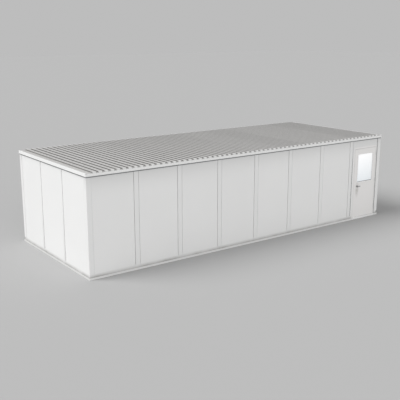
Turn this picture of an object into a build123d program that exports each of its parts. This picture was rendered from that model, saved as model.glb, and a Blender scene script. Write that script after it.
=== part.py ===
"""In-plant office: one-room modular building of steel posts, slab wall panels and a ribbed steel roof.

Millimetres. The origin is on the floor at the middle of the plan, +X runs along the long front wall
to the right, the front wall with the door faces -Y, and +Z is up.
"""
from build123d import *
import math
import os

os.makedirs("parts", exist_ok=True)

# Plan grid: every wall is a row of equal bays, each as wide as the door bay
bays_long = 8
bays_short = 3

# Posts: square steel tubes with side tongues that hold the panels, and the open joints beside them
post_width = 120.0
post_gauge = 3.0
post_corner = 3.0
tongue_width = 30.0
tongue_engagement = 8.0
reveal = 10.0
door_reveal = 25.0

# Wall panels: sandwich slabs, grooved along their edges; those of the end walls meet over slim studs
panel_setback = 7.0
groove_clearance = 1.0
panel_head_gap = 2.0
end_joint = 10.0

# Floor track: a tray that the posts and rails stand in
track_gauge = 3.0
lip_height = 50.0
edge_overhang = 12.0

# Kick rails: inverted channels that run under the panels and posts, a little behind their faces
kick_show = 75.0
kick_setback = 12.0
kick_gauge = 2.0

# Head track: an inverted tray over the posts and panels
head_gauge = 3.0
head_show = 24.0

# Roof edge trim: folded sheet round the top of the walls, higher at the ends, where it caps the deck
trim_gauge = 2.0
trim_drop = 54.0
trim_rise = 5.0
end_trim_rise = 20.0
end_cap_flange = 25.0

# Roof deck: ribbed steel sheets spanning from front to back
rib_pitch = 152.5
crest_width = 89.0
web_run = 9.5
deck_depth = 38.0
deck_gauge = 1.0
ribs_per_sheet = 6
sheet_gap = 0.6
closure_thickness = 25.0

# Door leaf and its pressed-steel frame, in the last bay on the right of the front wall
leaf_width = 914.0
leaf_height = 2073.0
leaf_thickness = 45.0
leaf_setback = 12.0
door_gap = 6.0
jamb_face = 32.0
filler_width = 60.0
head_height = 50.0
header_joint = 1.0
header_height = 264.0
stop_lap = 10.0
stop_depth = 16.0
seat_gap = 5.0
sill_gauge = 3.0

# Door light: glass held by a screwed frame on each face of the leaf
light_stile = 139.5
light_above_lever = 132.0
light_top_rail = 162.0
light_neck = 10.0
light_fit = 1.0
light_flange_lap = 15.0
light_flange = 4.0
glass_thickness = 6.0

# Butt hinges on the right edge of the leaf
hinge_height = 114.0
hinge_knuckles = 5
plate_gap = 1.0
hinge_plate_depth = 32.0
knuckle_radius = 7.0
knuckle_clearance = 2.0
knuckle_gap = 0.4
plate_relief = 0.5
pin_radius = 3.0
running_clearance = 0.05
hinge_top_inset = 180.0
hinge_bottom_inset = 250.0

# Lever set on the left of the leaf
lever_backset = 145.0
lever_level = 1006.0
lever_length = 100.0
lever_radius = 10.0
lever_bend = 17.0
lever_projection = 58.0
lever_return = 24.0
lever_neck_radius = 11.0
rose_radius = 27.0
rose_thickness = 9.0
lock_bore_radius = 24.0

# The door bay sets the pitch of the posts: leaf, frame and filler between two posts
bay_pitch = post_width + 2 * door_reveal + filler_width + 2 * (jamb_face + door_gap) + leaf_width

# Plan lines of the post centres and of the outer edge
half_long = bays_long * bay_pitch / 2
half_short = bays_short * bay_pitch / 2
half_post = post_width / 2
outer_long = half_long + half_post + edge_overhang
outer_short = half_short + half_post + edge_overhang
track_width = post_width + 2 * edge_overhang
head_width = post_width + 2 * head_gauge

# Door levels, from the sill upwards
leaf_bottom = lip_height + door_gap
leaf_top = leaf_bottom + leaf_height
opening_top = leaf_top + door_gap
frame_top = opening_top + head_height
header_bottom = frame_top + header_joint

# Wall levels: the panel over the door sets the height of the head track
panel_top = header_bottom + header_height
head_underside = panel_top + panel_head_gap
head_top = head_underside + head_gauge
kick_top = lip_height + kick_show

# Panel and tongue sizes that follow from the grid
panel_thickness = post_width - 2 * panel_setback
kick_thickness = post_width - 2 * kick_setback
panel_width = bay_pitch - post_width - 2 * reveal
groove_width = tongue_width + 2 * groove_clearance
groove_depth = tongue_engagement + groove_clearance

# Roof levels
trim_bottom = head_top - trim_drop
trim_top = head_top + trim_rise
end_trim_top = head_top + end_trim_rise
leg_bottom = trim_bottom - head_show
deck_seat = head_top + trim_gauge
crest_level = deck_seat + deck_depth
half_deck_long = outer_long - trim_gauge
half_deck_short = outer_short - trim_gauge - closure_thickness
rib_count = int((2 * half_long - post_width) // rib_pitch)

# Door lines along the front wall, from the corner post leftwards
corner_face = half_long - half_post
frame_right = corner_face - door_reveal
opening_right = frame_right - jamb_face
leaf_right = opening_right - door_gap
leaf_left = leaf_right - leaf_width
leaf_centre = (leaf_left + leaf_right) / 2
opening_left = leaf_left - door_gap
frame_left = opening_left - jamb_face

# Door light: what the stiles, the top rail and the lever set leave of the leaf
light_width = leaf_width - 2 * light_stile
light_height = leaf_top - light_top_rail - lever_level - light_above_lever
light_middle = leaf_top - light_top_rail - light_height / 2
light_cut_width = light_width + 2 * light_neck
light_cut_height = light_height + 2 * light_neck

# Door depths, counted indoors from the middle of the front wall
leaf_outer = leaf_setback - half_post
leaf_inner = leaf_outer + leaf_thickness
leaf_middle = (leaf_outer + leaf_inner) / 2
stop_outer = leaf_inner + seat_gap
frame_inner = stop_outer + stop_depth
frame_depth = frame_inner - leaf_outer
frame_middle = (leaf_outer + frame_inner) / 2
stop_width = door_gap + stop_lap

# Hinge axis, seen in plan on the front wall
hinge_line = leaf_right + door_gap / 2
hinge_depth = leaf_outer - knuckle_radius - knuckle_clearance
hinge_plate = (door_gap - plate_gap) / 2
plate_start = hinge_depth + knuckle_radius + plate_relief
plate_end = leaf_outer + hinge_plate_depth

# Each wall's own plan: x runs to the right seen from outside, y points indoors
walls = {
    "front": Plane(origin=(0, -half_short, 0), x_dir=(1, 0, 0), z_dir=(0, 0, 1)),
    "back": Plane(origin=(0, half_short, 0), x_dir=(-1, 0, 0), z_dir=(0, 0, 1)),
    "left": Plane(origin=(-half_long, 0, 0), x_dir=(0, -1, 0), z_dir=(0, 0, 1)),
    "right": Plane(origin=(half_long, 0, 0), x_dir=(0, 1, 0), z_dir=(0, 0, 1)),
}


def plan(wall, level):
    """Horizontal plane of a wall at a level."""
    return walls[wall].offset(level)


def section(wall, station):
    """Plane across a wall at a station along it: x points indoors, y points up."""
    start = walls[wall].from_local_coords((station, 0, 0))
    return Plane(origin=start, x_dir=walls[wall].y_dir, z_dir=walls[wall].x_dir)


def door_elevation(depth):
    """Upright plane of the door seen from outside: x to the right, y up, z out of doors."""
    return Plane(origin=(0, -half_short + depth, 0), x_dir=(1, 0, 0), z_dir=(0, -1, 0))


def save(piece, node):
    """Label a finished piece and write it as a node."""
    piece.part.label = node
    export_step(piece.part, f"parts/{node}.step")


def make_long_floor_track(wall, node):
    """Tray along a long wall, closed at its ends, its inner lip open where the end tracks meet it."""
    with BuildPart() as track:
        with BuildSketch(plan(wall, 0)):
            Rectangle(2 * outer_long, track_width)
        extrude(amount=lip_height)
        with BuildSketch(plan(wall, track_gauge)):
            Rectangle(2 * (outer_long - track_gauge), track_width - 2 * track_gauge)
            with Locations((-half_long, track_width / 2), (half_long, track_width / 2)):
                Rectangle(track_width - 2 * track_gauge, track_width)
        extrude(amount=lip_height, mode=Mode.SUBTRACT)
    save(track, node)


def make_end_floor_track(wall, node):
    """Channel along an end wall, between the two long tracks."""
    with BuildPart() as track:
        with BuildSketch(plan(wall, 0)):
            Rectangle(2 * half_short - track_width, track_width)
        extrude(amount=lip_height)
        with BuildSketch(plan(wall, track_gauge)):
            Rectangle(2 * half_short - track_width, track_width - 2 * track_gauge)
        extrude(amount=lip_height, mode=Mode.SUBTRACT)
    save(track, node)


def make_kick_rails(spans, node):
    """Inverted channels with closed ends in the floor track, one per (wall, first station, last station)."""
    with BuildPart() as rails:
        for wall, first, last in spans:
            with BuildSketch(plan(wall, track_gauge)):
                with Locations(((first + last) / 2, 0)):
                    rail = Rectangle(last - first, kick_thickness)
            extrude(amount=kick_top - track_gauge)
            with BuildSketch(plan(wall, track_gauge)):
                offset(rail, amount=-kick_gauge)
            extrude(amount=kick_top - track_gauge - kick_gauge, mode=Mode.SUBTRACT)
    save(rails, node)


def make_studs(stations, node):
    """Posts within a wall: tubes on the kick rails, at each (wall, station, left joint, right joint)."""
    with BuildPart() as studs:
        for wall, station, left_joint, right_joint in stations:
            with BuildSketch(plan(wall, kick_top)):
                with Locations((station, 0)):
                    RectangleRounded(post_width, post_width, post_corner)
                    bore = post_width - 2 * post_gauge
                    Rectangle(bore, bore, mode=Mode.SUBTRACT)
                for side, joint in ((-1, left_joint), (1, right_joint)):
                    tongue = joint + tongue_engagement
                    with Locations((station + side * (half_post + tongue / 2), 0)):
                        Rectangle(tongue, tongue_width)
            extrude(amount=head_underside - kick_top)
    save(studs, node)


def make_corner_post(end, face, long_joint, long_tongue_bottom, node):
    """Corner post on the kick rails, with a tongue along the long wall and one along the end wall."""
    long_tongue = long_joint + tongue_engagement
    end_tongue = reveal + tongue_engagement
    with BuildPart() as post:
        with BuildSketch(Plane.XY.offset(kick_top)):
            with Locations((end * half_long, face * half_short)):
                RectangleRounded(post_width, post_width, post_corner)
                bore = post_width - 2 * post_gauge
                Rectangle(bore, bore, mode=Mode.SUBTRACT)
            with Locations((end * half_long, face * (half_short - half_post - end_tongue / 2))):
                Rectangle(tongue_width, end_tongue)
        extrude(amount=head_underside - kick_top)
        with BuildSketch(Plane.XY.offset(long_tongue_bottom)):
            with Locations((end * (corner_face - long_tongue / 2), face * half_short)):
                Rectangle(long_tongue, tongue_width)
        extrude(amount=head_underside - long_tongue_bottom)
    save(post, node)


def make_panels(wall, spans, node):
    """Slab panels on the kick rails, one per (first, last) span, grooved at both edges for the tongues."""
    with BuildPart() as panels:
        with BuildSketch(plan(wall, kick_top)):
            for first, last in spans:
                with Locations(((first + last) / 2, 0)):
                    Rectangle(last - first, panel_thickness)
                with Locations((first, 0), (last, 0)):
                    Rectangle(2 * groove_depth, groove_width, mode=Mode.SUBTRACT)
        extrude(amount=panel_top - kick_top)
    save(panels, node)


def make_trim(wall, half_face, half_return, half_flange, top, cap_reach, node):
    """Folded roof edge trim: face, bottom return to the head track, flange under the deck and cap."""
    outer_face = -half_post - edge_overhang
    with BuildPart() as trim:
        with BuildSketch(section(wall, -half_face)):
            with Locations((outer_face, trim_bottom)):
                Rectangle(trim_gauge, top - trim_bottom, align=(Align.MIN, Align.MIN))
        extrude(amount=2 * half_face)
        with BuildSketch(section(wall, -half_return)):
            with Locations((outer_face, trim_bottom)):
                Rectangle(edge_overhang - head_gauge, trim_gauge, align=(Align.MIN, Align.MIN))
        extrude(amount=2 * half_return)
        with BuildSketch(section(wall, -half_flange)):
            with Locations((outer_face, head_top)):
                Rectangle(track_width - edge_overhang, trim_gauge, align=(Align.MIN, Align.MIN))
        extrude(amount=2 * half_flange)
        if cap_reach > 0:
            with BuildSketch(section(wall, -half_return)):
                with Locations((outer_face, top)):
                    Rectangle(cap_reach, trim_gauge, align=(Align.MIN, Align.MAX))
            extrude(amount=2 * half_return)
    save(trim, node)


# Floor tracks
make_long_floor_track("front", "front_floor_track")
make_long_floor_track("back", "back_floor_track")
make_end_floor_track("left", "left_floor_track")
make_end_floor_track("right", "right_floor_track")

# Kick rails: the long ones run under the corner posts, the end ones butt against them, and the door sill
# parts the front one
long_rail_end = half_long + kick_thickness / 2
end_rail_end = half_short - kick_thickness / 2
make_kick_rails([("front", -long_rail_end, frame_left), ("front", corner_face, long_rail_end)],
                "front_kick_rails")
make_kick_rails([("back", -long_rail_end, long_rail_end)], "back_kick_rails")
make_kick_rails([(wall, -end_rail_end, end_rail_end) for wall in ("left", "right")], "end_kick_rails")

# Posts: the last stud of the front stands off the door frame by a wider joint
long_stations = [(bay + 1 - bays_long / 2) * bay_pitch for bay in range(bays_long - 1)]
front_joints = [reveal] * (bays_long - 2) + [door_reveal]
front_studs = [("front", station, reveal, joint) for station, joint in zip(long_stations, front_joints)]
make_studs(front_studs, "front_studs")
make_studs([("back", station, reveal, reveal) for station in long_stations], "back_studs")
make_corner_post(-1, -1, reveal, kick_top, "front_left_post")
make_corner_post(1, -1, door_reveal, lip_height, "front_right_post")
make_corner_post(-1, 1, reveal, kick_top, "back_left_post")
make_corner_post(1, 1, reveal, kick_top, "back_right_post")

# Slim studs of the end walls: tubes hidden in the grooves where two panels meet
short_stations = [(bay + 1 - bays_short / 2) * bay_pitch for bay in range(bays_short - 1)]
with BuildPart() as end_studs:
    slim_width = end_joint + 2 * tongue_engagement
    for wall in ("left", "right"):
        with BuildSketch(plan(wall, kick_top)):
            with Locations(*[(station, 0) for station in short_stations]):
                Rectangle(slim_width, tongue_width)
                Rectangle(slim_width - 2 * post_gauge, tongue_width - 2 * post_gauge, mode=Mode.SUBTRACT)
        extrude(amount=head_underside - kick_top)
save(end_studs, "end_studs")

# Wall panels of the long walls, between the posts
long_spans = []
for bay in range(bays_long):
    middle = (bay - (bays_long - 1) / 2) * bay_pitch
    long_spans.append((middle - panel_width / 2, middle + panel_width / 2))
for bay in range(bays_long - 1):
    make_panels("front", [long_spans[bay]], f"front_panel_{bay + 1}")
make_panels("back", long_spans, "back_panels")

# Wall panels of the end walls, from corner post to corner post
end_face = half_short - half_post
end_starts = [reveal - end_face] + [station + end_joint / 2 for station in short_stations]
end_stops = [station - end_joint / 2 for station in short_stations] + [end_face - reveal]
end_spans = list(zip(end_starts, end_stops))
make_panels("left", end_spans, "left_panels")
make_panels("right", end_spans, "right_panels")

# Head tracks along the long walls: inverted trays, their inner legs open for the end walls
with BuildPart() as long_head_tracks:
    for wall in ("front", "back"):
        with BuildSketch(plan(wall, leg_bottom)):
            Rectangle(2 * half_long + head_width, head_width)
        extrude(amount=head_top - leg_bottom)
        with BuildSketch(plan(wall, leg_bottom)):
            Rectangle(2 * half_long + post_width, post_width)
            with Locations((-half_long, half_post), (half_long, half_post)):
                Rectangle(post_width, post_width)
        extrude(amount=head_underside - leg_bottom, mode=Mode.SUBTRACT)
save(long_head_tracks, "long_head_tracks")

# Head tracks along the end walls: inverted channels between the long ones
with BuildPart() as end_head_tracks:
    for wall in ("left", "right"):
        with BuildSketch(plan(wall, leg_bottom)):
            Rectangle(2 * half_short - head_width, head_width)
        extrude(amount=head_top - leg_bottom)
        with BuildSketch(plan(wall, leg_bottom)):
            Rectangle(2 * half_short - head_width, post_width)
        extrude(amount=head_underside - leg_bottom, mode=Mode.SUBTRACT)
save(end_head_tracks, "end_head_tracks")

# Roof edge trims: the end trims run over the corners and the long ones butt against them
half_head_long = half_long + head_width / 2
half_face = outer_long - trim_gauge
for wall in ("front", "back"):
    make_trim(wall, half_face, half_head_long, corner_face, trim_top, 0, f"{wall}_roof_trim")
half_between = outer_short - trim_gauge
for wall in ("left", "right"):
    make_trim(wall, outer_short, half_between, half_between, end_trim_top, end_cap_flange,
              f"{wall}_roof_trim")

# Roof deck: each sheet is a folded line of ribs given its thickness
rib_centres = [(rib - (rib_count - 1) / 2) * rib_pitch for rib in range(rib_count)]
web_angle = math.atan2(deck_depth - deck_gauge, web_run)
fold_shift = deck_gauge * math.tan(web_angle / 2)
crest_underside = crest_level - deck_gauge
with BuildPart() as roof_deck:
    with BuildSketch(Plane.XZ.offset(-half_deck_short)):
        for first in range(0, rib_count, ribs_per_sheet):
            ribs = rib_centres[first:first + ribs_per_sheet]
            start = ribs[0] - rib_pitch / 2 + sheet_gap / 2
            end = ribs[-1] + rib_pitch / 2 - sheet_gap / 2
            if first == 0:
                start = -half_deck_long
            if ribs[-1] == rib_centres[-1]:
                end = half_deck_long
            lower = [(start, deck_seat)]
            upper = [(start, deck_seat + deck_gauge)]
            for centre in ribs:
                for side in (-1, 1):
                    foot = (centre + side * (crest_width / 2 + web_run), deck_seat)
                    shoulder = (centre + side * crest_width / 2, crest_underside)
                    fold = [foot, shoulder] if side < 0 else [shoulder, foot]
                    lower += fold
                    upper += [(x + side * fold_shift, z + deck_gauge) for x, z in fold]
            lower.append((end, deck_seat))
            upper.append((end, deck_seat + deck_gauge))
            with BuildLine():
                Polyline(*lower, *reversed(upper), close=True)
            make_face()
    extrude(amount=2 * half_deck_short)
save(roof_deck, "roof_deck")

# Rib closures: comb strips that fill the ends of the ribs behind the front and back trims
with BuildPart() as rib_closures:
    tooth_run = web_run * (crest_level - trim_top) / deck_depth
    comb = [(-half_deck_long, deck_seat), (-half_deck_long, trim_top)]
    for centre in rib_centres:
        comb.append((centre - crest_width / 2 - tooth_run, trim_top))
        comb.append((centre - crest_width / 2, crest_level))
        comb.append((centre + crest_width / 2, crest_level))
        comb.append((centre + crest_width / 2 + tooth_run, trim_top))
    comb += [(half_deck_long, trim_top), (half_deck_long, deck_seat)]
    for outer_edge in (-half_deck_short, half_deck_short + closure_thickness):
        with BuildSketch(Plane.XZ.offset(-outer_edge)):
            with BuildLine():
                Polyline(*comb, close=True)
            make_face()
        extrude(amount=closure_thickness)
save(rib_closures, "rib_closures")

# Door sill: an inverted channel that carries the door frame in the floor track
with BuildPart() as door_sill:
    sill_width = track_width - 2 * track_gauge
    with BuildSketch(section("front", frame_left)):
        with Locations((0, track_gauge)):
            Rectangle(sill_width, lip_height - track_gauge, align=(Align.CENTER, Align.MIN))
            Rectangle(
                sill_width - 2 * sill_gauge,
                lip_height - track_gauge - sill_gauge,
                align=(Align.CENTER, Align.MIN),
                mode=Mode.SUBTRACT,
            )
    extrude(amount=corner_face - frame_left)
save(door_sill, "door_sill")


def make_jamb(side, inner_face, grooved, node):
    """Upright of the door frame with its stop; the side is -1 for left and 1 for right."""
    with BuildPart() as jamb:
        with BuildSketch(plan("front", lip_height)):
            with Locations((inner_face + side * jamb_face / 2, frame_middle)):
                Rectangle(jamb_face, frame_depth)
            with Locations((inner_face - side * stop_width / 2, frame_inner - stop_depth / 2)):
                Rectangle(stop_width, stop_depth)
            if grooved:
                with Locations((inner_face + side * jamb_face, 0)):
                    Rectangle(2 * groove_depth, groove_width, mode=Mode.SUBTRACT)
        extrude(amount=opening_top - lip_height)
    save(jamb, node)


# Door frame: two jambs under a head, each with a stop behind the leaf
make_jamb(-1, opening_left, False, "door_jamb_left")
make_jamb(1, opening_right, True, "door_jamb_right")

with BuildPart() as door_head:
    head_tongue = header_joint + tongue_engagement
    with BuildSketch(section("front", frame_left)):
        with Locations((frame_middle, opening_top)):
            Rectangle(frame_depth, head_height, align=(Align.CENTER, Align.MIN))
        with Locations((0, frame_top)):
            Rectangle(tongue_width, head_tongue, align=(Align.CENTER, Align.MIN))
    extrude(amount=frame_right - frame_left)
    with BuildSketch(section("front", opening_left + stop_width)):
        with Locations((stop_outer, opening_top)):
            Rectangle(stop_depth, stop_width, align=(Align.MIN, Align.MAX))
    extrude(amount=opening_right - opening_left - 2 * stop_width)
    with BuildSketch(plan("front", opening_top)):
        with Locations((frame_right, 0)):
            Rectangle(2 * groove_depth, groove_width)
    extrude(amount=head_height + head_tongue, mode=Mode.SUBTRACT)
save(door_head, "door_head")

# Filler strip between the last stud and the door frame, as high as the wall
with BuildPart() as door_filler:
    with BuildSketch(plan("front", kick_top)):
        with Locations((frame_left, 0)):
            Rectangle(filler_width, panel_thickness, align=(Align.MAX, Align.CENTER))
        with Locations((frame_left - filler_width, 0)):
            Rectangle(2 * groove_depth, groove_width, mode=Mode.SUBTRACT)
    extrude(amount=panel_top - kick_top)
save(door_filler, "door_filler")

# Header panel over the door, between the filler and the corner post, seated on the tongue of the door head
with BuildPart() as door_header_panel:
    frame_width = frame_right - frame_left
    with BuildSketch(plan("front", header_bottom)):
        with Locations((leaf_centre, 0)):
            Rectangle(frame_width, panel_thickness)
        with Locations((frame_right, 0)):
            Rectangle(2 * groove_depth, groove_width, mode=Mode.SUBTRACT)
    extrude(amount=panel_top - header_bottom)
    with BuildSketch(plan("front", header_bottom)):
        with Locations((leaf_centre, 0)):
            Rectangle(frame_width, groove_width)
    extrude(amount=tongue_engagement, mode=Mode.SUBTRACT)
save(door_header_panel, "door_header_panel")

# Door leaf with the cut-out for its light and the bore for the lever set
with BuildPart() as door_leaf:
    with BuildSketch(door_elevation(leaf_inner)):
        with Locations((leaf_centre, (leaf_bottom + leaf_top) / 2)):
            Rectangle(leaf_width, leaf_height)
        with Locations((leaf_centre, light_middle)):
            Rectangle(light_cut_width, light_cut_height, mode=Mode.SUBTRACT)
        with Locations((leaf_left + lever_backset, lever_level)):
            Circle(lock_bore_radius, mode=Mode.SUBTRACT)
    extrude(amount=leaf_thickness)
save(door_leaf, "door_leaf")

# Light frame: a ring on each face of the leaf, with a neck that holds the glass
with BuildPart() as door_light_frame:
    with BuildSketch(door_elevation(leaf_middle - glass_thickness / 2)):
        with Locations((leaf_centre, light_middle)):
            Rectangle(light_cut_width - 2 * light_fit, light_cut_height - 2 * light_fit)
            Rectangle(light_width, light_height, mode=Mode.SUBTRACT)
    extrude(amount=leaf_thickness / 2 - glass_thickness / 2)
    with BuildSketch(door_elevation(leaf_outer)):
        with Locations((leaf_centre, light_middle)):
            Rectangle(light_cut_width + 2 * light_flange_lap, light_cut_height + 2 * light_flange_lap)
            Rectangle(light_width, light_height, mode=Mode.SUBTRACT)
    extrude(amount=light_flange)
    mirror(about=door_elevation(leaf_middle))
save(door_light_frame, "door_light_frame")

# Glass, held between the necks of the two rings
with BuildPart() as door_glass:
    with BuildSketch(door_elevation(leaf_middle + glass_thickness / 2)):
        with Locations((leaf_centre, light_middle)):
            Rectangle(light_cut_width - 2 * light_fit, light_cut_height - 2 * light_fit)
    extrude(amount=glass_thickness)
save(door_glass, "door_glass")

# Lever roses: a bored disc on each face of the leaf
lever_line = leaf_left + lever_backset
with BuildPart() as lever_roses:
    with BuildSketch(door_elevation(leaf_outer)):
        with Locations((lever_line, lever_level)):
            Circle(rose_radius)
            Circle(lever_neck_radius + running_clearance, mode=Mode.SUBTRACT)
    extrude(amount=rose_thickness)
    mirror(about=door_elevation(leaf_middle))
save(lever_roses, "lever_roses")

# Lever: a spindle through both roses and a bent handle at each end, pointing to the hinges
with BuildPart() as door_lever:
    outer_reach = leaf_thickness / 2 + lever_projection - lever_radius
    with BuildSketch(door_elevation(leaf_middle)):
        with Locations((lever_line, lever_level)):
            Circle(lever_neck_radius)
    extrude(amount=leaf_thickness / 2 + rose_thickness + lever_neck_radius / 2)
    with BuildLine(Plane(origin=(lever_line, -half_short + leaf_middle, lever_level),
                         x_dir=(1, 0, 0), z_dir=(0, 0, 1))):
        FilletPolyline(
            (0, 0),
            (0, -outer_reach),
            (lever_length, -outer_reach),
            (lever_length, lever_return - outer_reach),
            radius=lever_bend,
        )
    with BuildSketch(door_elevation(leaf_middle)):
        with Locations((lever_line, lever_level)):
            Circle(lever_radius)
    sweep()
    mirror(about=door_elevation(leaf_middle))
save(door_lever, "door_lever")

# Butt hinges: levels of their lower ends
hinge_levels = [
    leaf_bottom + hinge_bottom_inset - hinge_height / 2,
    (leaf_bottom + hinge_bottom_inset + leaf_top - hinge_top_inset - hinge_height) / 2,
    leaf_top - hinge_top_inset - hinge_height / 2,
]
knuckle_pitch = hinge_height / hinge_knuckles


def make_hinge_halves(side, seat, first_knuckle, pinned, node):
    """Plates on one side of the hinge line with every second knuckle; one half carries the pin."""
    with BuildPart() as halves:
        plate_middle = seat - side * hinge_plate / 2
        for level in hinge_levels:
            with BuildSketch(plan("front", level)):
                with Locations((plate_middle, (plate_start + plate_end) / 2)):
                    Rectangle(hinge_plate, plate_end - plate_start)
            extrude(amount=hinge_height)
            for knuckle in range(first_knuckle, hinge_knuckles, 2):
                knuckle_level = level + knuckle * knuckle_pitch + knuckle_gap / 2
                with BuildSketch(plan("front", knuckle_level)):
                    with Locations((plate_middle, (hinge_depth + plate_start) / 2)):
                        Rectangle(hinge_plate, plate_start - hinge_depth)
                    with Locations((hinge_line, hinge_depth)):
                        Circle(knuckle_radius)
                        if not pinned:
                            Circle(pin_radius + running_clearance, mode=Mode.SUBTRACT)
                extrude(amount=knuckle_pitch - knuckle_gap)
            if pinned:
                with BuildSketch(plan("front", level + knuckle_gap / 2)):
                    with Locations((hinge_line, hinge_depth)):
                        Circle(pin_radius)
                extrude(amount=hinge_height - knuckle_gap)
    save(halves, node)


make_hinge_halves(1, opening_right, 0, True, "hinge_frame_halves")
make_hinge_halves(-1, leaf_right, 1, False, "hinge_door_halves")
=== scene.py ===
"""Looks of the in-plant office: the finish of every piece, its small fixings and seals, and the studio."""
import bpy
import math
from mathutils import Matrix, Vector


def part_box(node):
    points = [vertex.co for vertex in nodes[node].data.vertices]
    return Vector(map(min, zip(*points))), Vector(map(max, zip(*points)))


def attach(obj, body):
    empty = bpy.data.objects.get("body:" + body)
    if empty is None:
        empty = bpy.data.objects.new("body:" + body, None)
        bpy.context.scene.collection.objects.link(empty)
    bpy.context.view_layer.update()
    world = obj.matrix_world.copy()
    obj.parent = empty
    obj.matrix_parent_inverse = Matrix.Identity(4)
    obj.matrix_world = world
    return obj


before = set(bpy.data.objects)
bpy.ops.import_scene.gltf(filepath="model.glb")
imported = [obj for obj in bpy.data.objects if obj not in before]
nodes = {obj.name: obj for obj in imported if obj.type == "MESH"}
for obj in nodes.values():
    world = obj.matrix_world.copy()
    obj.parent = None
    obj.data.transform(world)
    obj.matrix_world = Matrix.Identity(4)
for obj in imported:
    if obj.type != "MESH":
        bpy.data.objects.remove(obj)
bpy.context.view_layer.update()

# Floor tracks
# Folded steel trays with a satin off-white coat. They lie on the floor round the room and hold the foot of
# every wall between their lips. Anchors with a washer and nut hold them down, in the gutter behind the lip.


def feed(tree, node, inputs):
    """Set a node's sockets to plain values, or feed them from other nodes' outputs."""
    for key, term in inputs.items():
        if isinstance(term, bpy.types.NodeSocket):
            tree.links.new(term, node.inputs[key])
        else:
            node.inputs[key].default_value = term


def add_node(tree, kind, inputs, **settings):
    """Node with its settings and with what its sockets take."""
    node = tree.nodes.new(kind)
    for key, value in settings.items():
        setattr(node, key, value)
    feed(tree, node, inputs)
    return node


def work_out(tree, operation, *terms, clamp=False):
    """Result of an operation on plain values and outputs, kept between 0 and 1 if wanted."""
    node = add_node(tree, "ShaderNodeMath", dict(enumerate(terms)), operation=operation, use_clamp=clamp)
    return node.outputs[0]


def spread(tree, source, low, high, start=0.0, end=1.0):
    """Value that runs from low to high while its source runs from start to end."""
    inputs = {"Value": source, "From Min": start, "From Max": end, "To Min": low, "To Max": high}
    return add_node(tree, "ShaderNodeMapRange", inputs).outputs[0]


def read_place(tree, reading="Object"):
    """Where each point of the surface lies (Object) or which way it faces (Normal)."""
    return add_node(tree, "ShaderNodeTexCoord", {}).outputs[reading]


def along(tree, source, axis):
    """One axis of a place or a facing."""
    return add_node(tree, "ShaderNodeSeparateXYZ", {0: source}).outputs[axis]


def stretch(tree, place, scale):
    """Place with a scale of its own along each axis."""
    return add_node(tree, "ShaderNodeMapping", {"Vector": place, "Scale": scale}).outputs[0]


def clouds(tree, place, scale, detail=2.0, roughness=0.5):
    """Soft noise over the surface."""
    inputs = {"Vector": place, "Scale": scale, "Detail": detail, "Roughness": roughness}
    return add_node(tree, "ShaderNodeTexNoise", inputs).outputs["Fac"]


def mix_tones(tree, share, first, second):
    """Colour between two, each a plain colour or an output."""
    inputs = {"Factor": share, 6: first, 7: second}
    return add_node(tree, "ShaderNodeMix", inputs, data_type="RGBA").outputs[2]


def scale_tone(tree, colour, level):
    """Colour made lighter or darker by a level."""
    return add_node(tree, "ShaderNodeVectorMath", {0: colour, "Scale": level}, operation="SCALE").outputs[0]


def emboss(tree, height, strength, depth):
    """Normal of a surface with a fine relief."""
    inputs = {"Height": height, "Strength": strength, "Distance": depth}
    return add_node(tree, "ShaderNodeBump", inputs).outputs[0]


def fade_out(tree, distance, reach, power):
    """Value that falls from 1 to 0 over a reach, by a power."""
    share = work_out(tree, "DIVIDE", distance, reach)
    left = work_out(tree, "SUBTRACT", 1.0, share, clamp=True)
    return work_out(tree, "POWER", left, power)


def shader_group(name, inputs, outputs):
    """Empty shader group with float inputs (name, value) and float outputs (name), and its input node."""
    group = bpy.data.node_groups.new(name, "ShaderNodeTree")
    for label, value in inputs.items():
        socket = group.interface.new_socket(label, in_out="INPUT", socket_type="NodeSocketFloat")
        socket.default_value = value
    for label in outputs:
        group.interface.new_socket(label, in_out="OUTPUT", socket_type="NodeSocketFloat")
    return group, add_node(group, "NodeGroupInput", {})


def make_floor_dust_and_shade():
    """Group: dust that thins out upwards from the floor, broken up by clouds; turned up high, it is painted
    shade.
    """
    group, given = shader_group("floor_dust_and_shade", {"Reach": 0.3, "Amount": 0.5}, ["Mask"])
    place = read_place(group)
    soft = fade_out(group, along(group, place, "Z"), given.outputs["Reach"], power=2.0)
    broken = work_out(group, "MULTIPLY", soft, clouds(group, place, 3.0, detail=6.0, roughness=0.65))
    level = work_out(group, "MULTIPLY", broken, given.outputs["Amount"], clamp=True)
    add_node(group, "NodeGroupOutput", {"Mask": level})
    return group


def make_coat_grain():
    """Group: pebbles over fine orange peel as a height, and a slow drift of tone."""
    sizes = {"Grain Scale": 300.0, "Drift Scale": 0.6}
    group, given = shader_group("coat_grain", sizes, ["Height", "Drift"])
    place = read_place(group)
    peel = clouds(group, place, given.outputs["Grain Scale"])
    pebble_inputs = {"Vector": place, "Scale": given.outputs["Grain Scale"], "Randomness": 0.9}
    pebbles = add_node(group, "ShaderNodeTexVoronoi", pebble_inputs, feature="SMOOTH_F1")
    height = work_out(group, "SUBTRACT", peel, pebbles.outputs["Distance"])
    drift = clouds(group, place, given.outputs["Drift Scale"], detail=3.0)
    add_node(group, "NodeGroupOutput", {"Height": height, "Drift": drift})
    return group


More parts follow.
